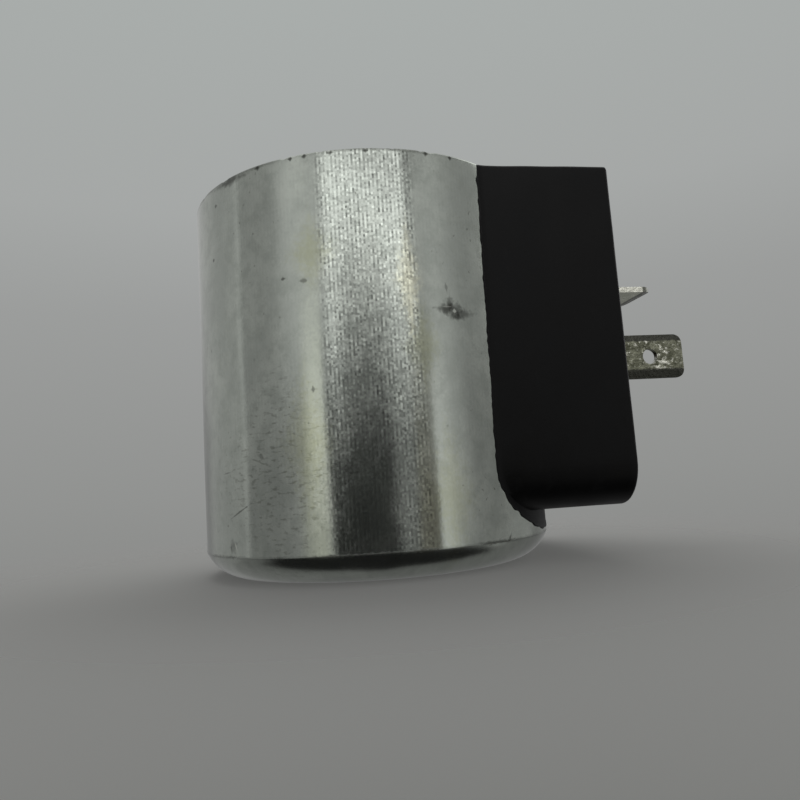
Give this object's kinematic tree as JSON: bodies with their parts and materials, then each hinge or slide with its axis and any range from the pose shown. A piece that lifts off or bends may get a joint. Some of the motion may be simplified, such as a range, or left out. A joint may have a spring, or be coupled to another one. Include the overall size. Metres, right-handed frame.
{
  "type": "solenoid valve coil",
  "caption": "Cylindrical steel-cased solenoid coil with a through bore for an armature tube and a moulded side block carrying flat plug tabs and a screw insert.",
  "frame": {"origin": "on the bore axis at the valve face", "axes": "+Z along the bore from the valve face to the open rim, +X from the bore axis towards the plug"},
  "size_m": [0.068, 0.047, 0.05],
  "materials": {
    "plated_steel": "zinc plated, fine draw lines, dull and marked",
    "plate_steel": "turned steel, zinc plated",
    "black_resin": "matt moulded resin with a little flash",
    "bobbin_plastic": "moulded plastic",
    "copper_wire": "enamelled copper wire",
    "tape": "polyester tape",
    "sleeve_rubber": "flexible sleeving",
    "solder": "bright solder",
    "tab_metal": "tin plated brass, dulled",
    "insert_brass": "turned brass"
  },
  "bodies": {
    "root": {"shell": "plated_steel", "end_plate": "plate_steel", "bobbin": "bobbin_plastic", "winding": "copper_wire", "winding_tape": "tape", "crossover_insulator": "tape", "start_lead": "copper_wire", "finish_lead": "copper_wire", "start_sleeve": "sleeve_rubber", "finish_sleeve": "sleeve_rubber", "solder_joints": "solder", "line_tab_near": "tab_metal", "line_tab_far": "tab_metal", "earth_tab": "tab_metal", "earth_strap": "tab_metal", "earth_rivet": "plate_steel", "terminal_carrier": "bobbin_plastic", "screw_insert": "insert_brass", "moulding": "black_resin"}
  },
  "joints": []
}
